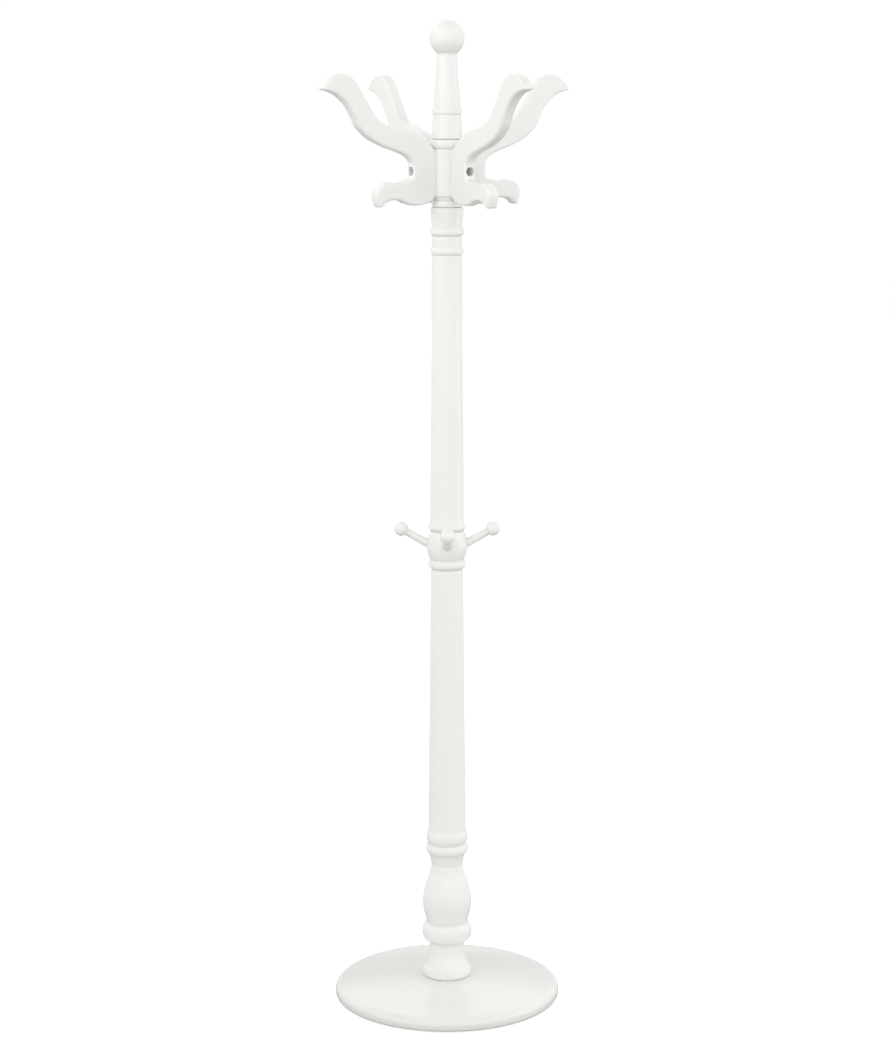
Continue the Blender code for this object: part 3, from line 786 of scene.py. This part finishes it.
def base_fixing(look):
    """The hexagon bolt and washer in the recess under the base."""
    low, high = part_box("base_washer")
    outline = softened_ring(
        [(BOLT_BORE, high.z), (high.x, high.z), (high.x, low.z), (BOLT_BORE, low.z)], 0.0003)
    washer = turned_mesh("washer", outline, SMALL_SIDES, closed=True)
    show("plain_washer", washer, look, "zinc_steel", "base_washer")
    bottom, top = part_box("base_bolt")
    head_radius = max(half_size("base_bolt").x, half_size("base_bolt").y)
    head_top = low.z - GAP
    shank = 0.005
    edge = 0.0008
    head = [(0.0, head_top), (head_radius, head_top), (head_radius, bottom.z + edge),
            (head_radius - edge, bottom.z), (0.0, bottom.z)]
    rod = [(0.0, top.z), (shank - edge, top.z), (shank, top.z - edge), (shank, head_top - 0.001),
           (0.0, head_top - 0.001)]
    bolt = worked(turned_mesh("rod", rod, SMALL_SIDES), [(turned_mesh("head", head, 6), Matrix())], "UNION")
    show("hexagon_bolt", bolt, look, "zinc_steel", "base_bolt")


def softened_ring(outline, corner):
    """Round the corners of an outline that closes on itself."""
    return softened([outline[-1], *outline, outline[0]], corner)[1:-1]


def glides(look):
    """Low round glides under the base."""
    for index in range(1, 5):
        low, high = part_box(f"glide_{index}")
        radius = (high.x - low.x) / 2
        corner = 0.0009
        outline = [(0.0, high.z), (radius, high.z), (radius, corner), *quarter_under(radius, corner),
                   (0.0, 0.0)]
        mesh = turned_mesh("glide", outline, SMALL_SIDES)
        middle = middle_of(f"glide_{index}")
        mesh.transform(Matrix.Translation((middle.x, middle.y, 0.0)))
        show(f"nylon_glide_{index}", mesh, look, "nylon", f"glide_{index}")


def quarter_under(radius, corner, steps=5):
    """The rounded lower edge of a disc, from its side to its underside."""
    angles = [math.pi / 2 * step / steps for step in range(1, steps + 1)]
    return [(radius - corner * (1 - math.cos(a)), corner * (1 - math.sin(a))) for a in angles]


# ---------------------------------------------------------------- surroundings
def floor():
    """A plain pale floor that lets the studio's own light reach the rack's underside."""
    work = bmesh.new()
    bmesh.ops.create_circle(work, cap_ends=True, segments=128, radius=14.0)
    mesh = bpy.data.meshes.new("floor")
    work.to_mesh(mesh)
    work.free()
    made = placed("floor", mesh)
    look = bpy.data.materials.new("pale_floor")
    tree, shader = new_tree(look)
    cloud = noise(tree, EVEN, 1.5, 2.0)
    tone = mixed(tree, cloud, (0.62, 0.62, 0.61), (0.66, 0.66, 0.65))
    tree.links.new(tone, shader.inputs["Base Color"])
    shader.inputs["Roughness"].default_value = 0.7
    shader.inputs["Emission Color"].default_value = (1.0, 1.0, 1.0, 1.0)
    shader.inputs["Emission Strength"].default_value = 0.72
    mesh.materials.append(look)
    made.visible_diffuse = False
    made.visible_glossy = False


def flag(name, corners, grey):
    """A matt grey card, out of the camera's sight, that takes light off the rack."""
    work = bmesh.new()
    work.faces.new([work.verts.new(corner) for corner in corners])
    mesh = bpy.data.meshes.new(name)
    work.to_mesh(mesh)
    work.free()
    made = placed(name, mesh)
    look = bpy.data.materials.new(name)
    tree, shader = new_tree(look)
    weave = noise(tree, EVEN, 300.0, 2.0)
    tree.links.new(mixed(tree, weave, (grey,) * 3, (grey + 0.05,) * 3), shader.inputs["Base Color"])
    shader.inputs["Roughness"].default_value = 0.9
    mesh.materials.append(look)
    made.visible_camera = False


def flags():
    """One flag on the floor, which keeps light from below off the foot and rim, and one behind the rack.

    The far one stands along the camera's direction, where the base's far half mirrors it.
    """
    reach = 0.5
    below = -0.001
    corners = [(reach, reach, below), (-reach, reach, below), (-reach, -reach, below), (reach, -reach, below)]
    flag("floor_flag", corners, 0.5)
    turn = math.radians(CAMERA_AZIMUTH)
    away = Vector((-math.sin(turn), math.cos(turn), 0.0))
    across = Vector((away.y, -away.x, 0.0))
    distance = 5.0
    half_width = 2.0
    low = Vector((0.0, 0.0, 0.80))
    high = Vector((0.0, 0.0, 2.05))
    left = away * distance - across * half_width
    right = away * distance + across * half_width
    flag("far_flag", [left + low, right + low, right + high, left + high], 0.42)


def studio_world():
    """A pale studio, the same all round: brightest some way above the horizon, dim overhead and below."""
    world = bpy.data.worlds.new("studio")
    bpy.context.scene.world = world
    world.use_nodes = True
    tree = world.node_tree
    tree.nodes.clear()
    out = tree.nodes.new("ShaderNodeOutputWorld")
    background = tree.nodes.new("ShaderNodeBackground")
    background.inputs["Color"].default_value = (1.0, 1.0, 1.0, 1.0)
    tree.links.new(background.outputs["Background"], out.inputs["Surface"])
    direction = tree.nodes.new("ShaderNodeTexCoord")
    parts = tree.nodes.new("ShaderNodeSeparateXYZ")
    tree.links.new(direction.outputs["Generated"], parts.inputs["Vector"])
    ramp = tree.nodes.new("ShaderNodeValToRGB")
    height = ranged(tree, parts.outputs["Z"], -1.0, 1.0, 0.0, 1.0)
    tree.links.new(height, ramp.inputs["Fac"])
    brightest = 1.45
    stops = [(0.0, 0.48), (0.31, 0.52), (0.39, 1.01), (0.69, 1.03), (0.72, brightest),
             (0.80, brightest), (0.86, 1.00), (0.93, 0.56), (1.0, 0.46)]
    elements = ramp.color_ramp.elements
    while len(elements) < len(stops):
        elements.new(0.5)
    for element, (position, level) in zip(elements, stops):
        element.position = position
        element.color = (level / brightest,) * 3 + (1.0,)
    strength = combined(tree, "MULTIPLY", ramp.outputs["Color"], brightest)
    tree.links.new(strength, background.inputs["Strength"])


def soft_box(name, azimuth, distance, height, width, tall, watts, aim_z, gloss=True, spread=180.0):
    """A soft area light. Azimuth 0 is the -Y side and turns towards +X. Gloss says if it is mirrored."""
    turn = math.radians(azimuth)
    lamp = bpy.data.lights.new(name, "AREA")
    lamp.shape = "RECTANGLE"
    lamp.size = width
    lamp.size_y = tall
    lamp.energy = watts
    lamp.spread = math.radians(spread)
    made = placed(name, lamp)
    made.location = (distance * math.sin(turn), -distance * math.cos(turn), height)
    aim = Vector((0.0, 0.0, aim_z)) - made.location
    made.rotation_euler = aim.to_track_quat("-Z", "Y").to_euler()
    made.visible_glossy = gloss


CAMERA_AZIMUTH = -32.5
CAMERA_DISTANCE = 4.440
CAMERA_HEIGHT = 1.6735
CAMERA_PITCH = math.radians(9.83)
CAMERA_LENS = 85.5
CAMERA_SHIFT = -0.001


def camera():
    """The camera, at the eye's height, looking slightly down."""
    data = bpy.data.cameras.new("camera")
    data.lens = CAMERA_LENS
    data.shift_x = CAMERA_SHIFT
    made = placed("camera", data)
    turn = math.radians(CAMERA_AZIMUTH)
    back = Vector((math.sin(turn), -math.cos(turn), 0.0))
    made.location = back * CAMERA_DISTANCE + Vector((0.0, 0.0, CAMERA_HEIGHT))
    ahead = -back * math.cos(CAMERA_PITCH) - Vector((0.0, 0.0, math.sin(CAMERA_PITCH)))
    made.rotation_euler = ahead.to_track_quat("-Z", "Y").to_euler()
    bpy.context.scene.camera = made


def lamps():
    """Two soft lamps in front, one high on the left and a narrow one on the right."""
    soft_box("key_front", azimuth=-42.0, distance=4.6, height=2.4, width=2.2, tall=1.8, watts=10.0,
             aim_z=1.0)
    soft_box("low_front", azimuth=-28.0, distance=4.2, height=0.9, width=1.6, tall=0.8, watts=9.0,
             aim_z=0.1, gloss=False)
    soft_box("key_left", azimuth=-84.0, distance=2.3, height=2.1, width=1.2, tall=1.2, watts=1.1,
             aim_z=1.7, spread=60.0)
    soft_box("strip_right", azimuth=55.0, distance=2.4, height=1.2, width=0.6, tall=1.6, watts=5.0,
             aim_z=0.9)


def finish_hidden_hardware(steel):
    """Give the studs, inserts and dowels, which stay CAD nodes, their own finishes."""
    brass = turned_brass()
    finishes = {"stud": steel, "hook_insert": brass, "insert": brass, "hook_dowel": bare_beech()}
    for name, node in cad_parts.items():
        for start, look in finishes.items():
            if name.startswith(start):
                node.material_slots[0].material = look


def main():
    """Make the pieces, their finishes, and the studio around them."""
    looks = {axis: lacquer(f"white_lacquer_grain_{axis.lower()}", axis) for axis in "XYZ"}
    steel = zinc_steel()
    nylon = moulded_nylon()
    turned_sections = {
        "finial": finial_mesh, "head_hub": head_hub_mesh, "upper_shaft": upper_shaft_mesh,
        "peg_barrel": peg_barrel_mesh, "lower_shaft": lower_shaft_mesh, "baluster": baluster_mesh}
    for node, make in turned_sections.items():
        show(f"turned_{node}", make(), looks["Z"], "white_lacquer", node)
    show("turned_base_disc", base_disc_mesh(), looks["X"], "white_lacquer", "base_disc")
    hooks(looks)
    pegs(looks["Z"])
    hook_bolts(steel)
    base_fixing(steel)
    glides(nylon)
    finish_hidden_hardware(steel)
    floor()
    flags()
    studio_world()
    lamps()
    camera()
    bpy.context.scene.view_settings.view_transform = "Standard"


main()
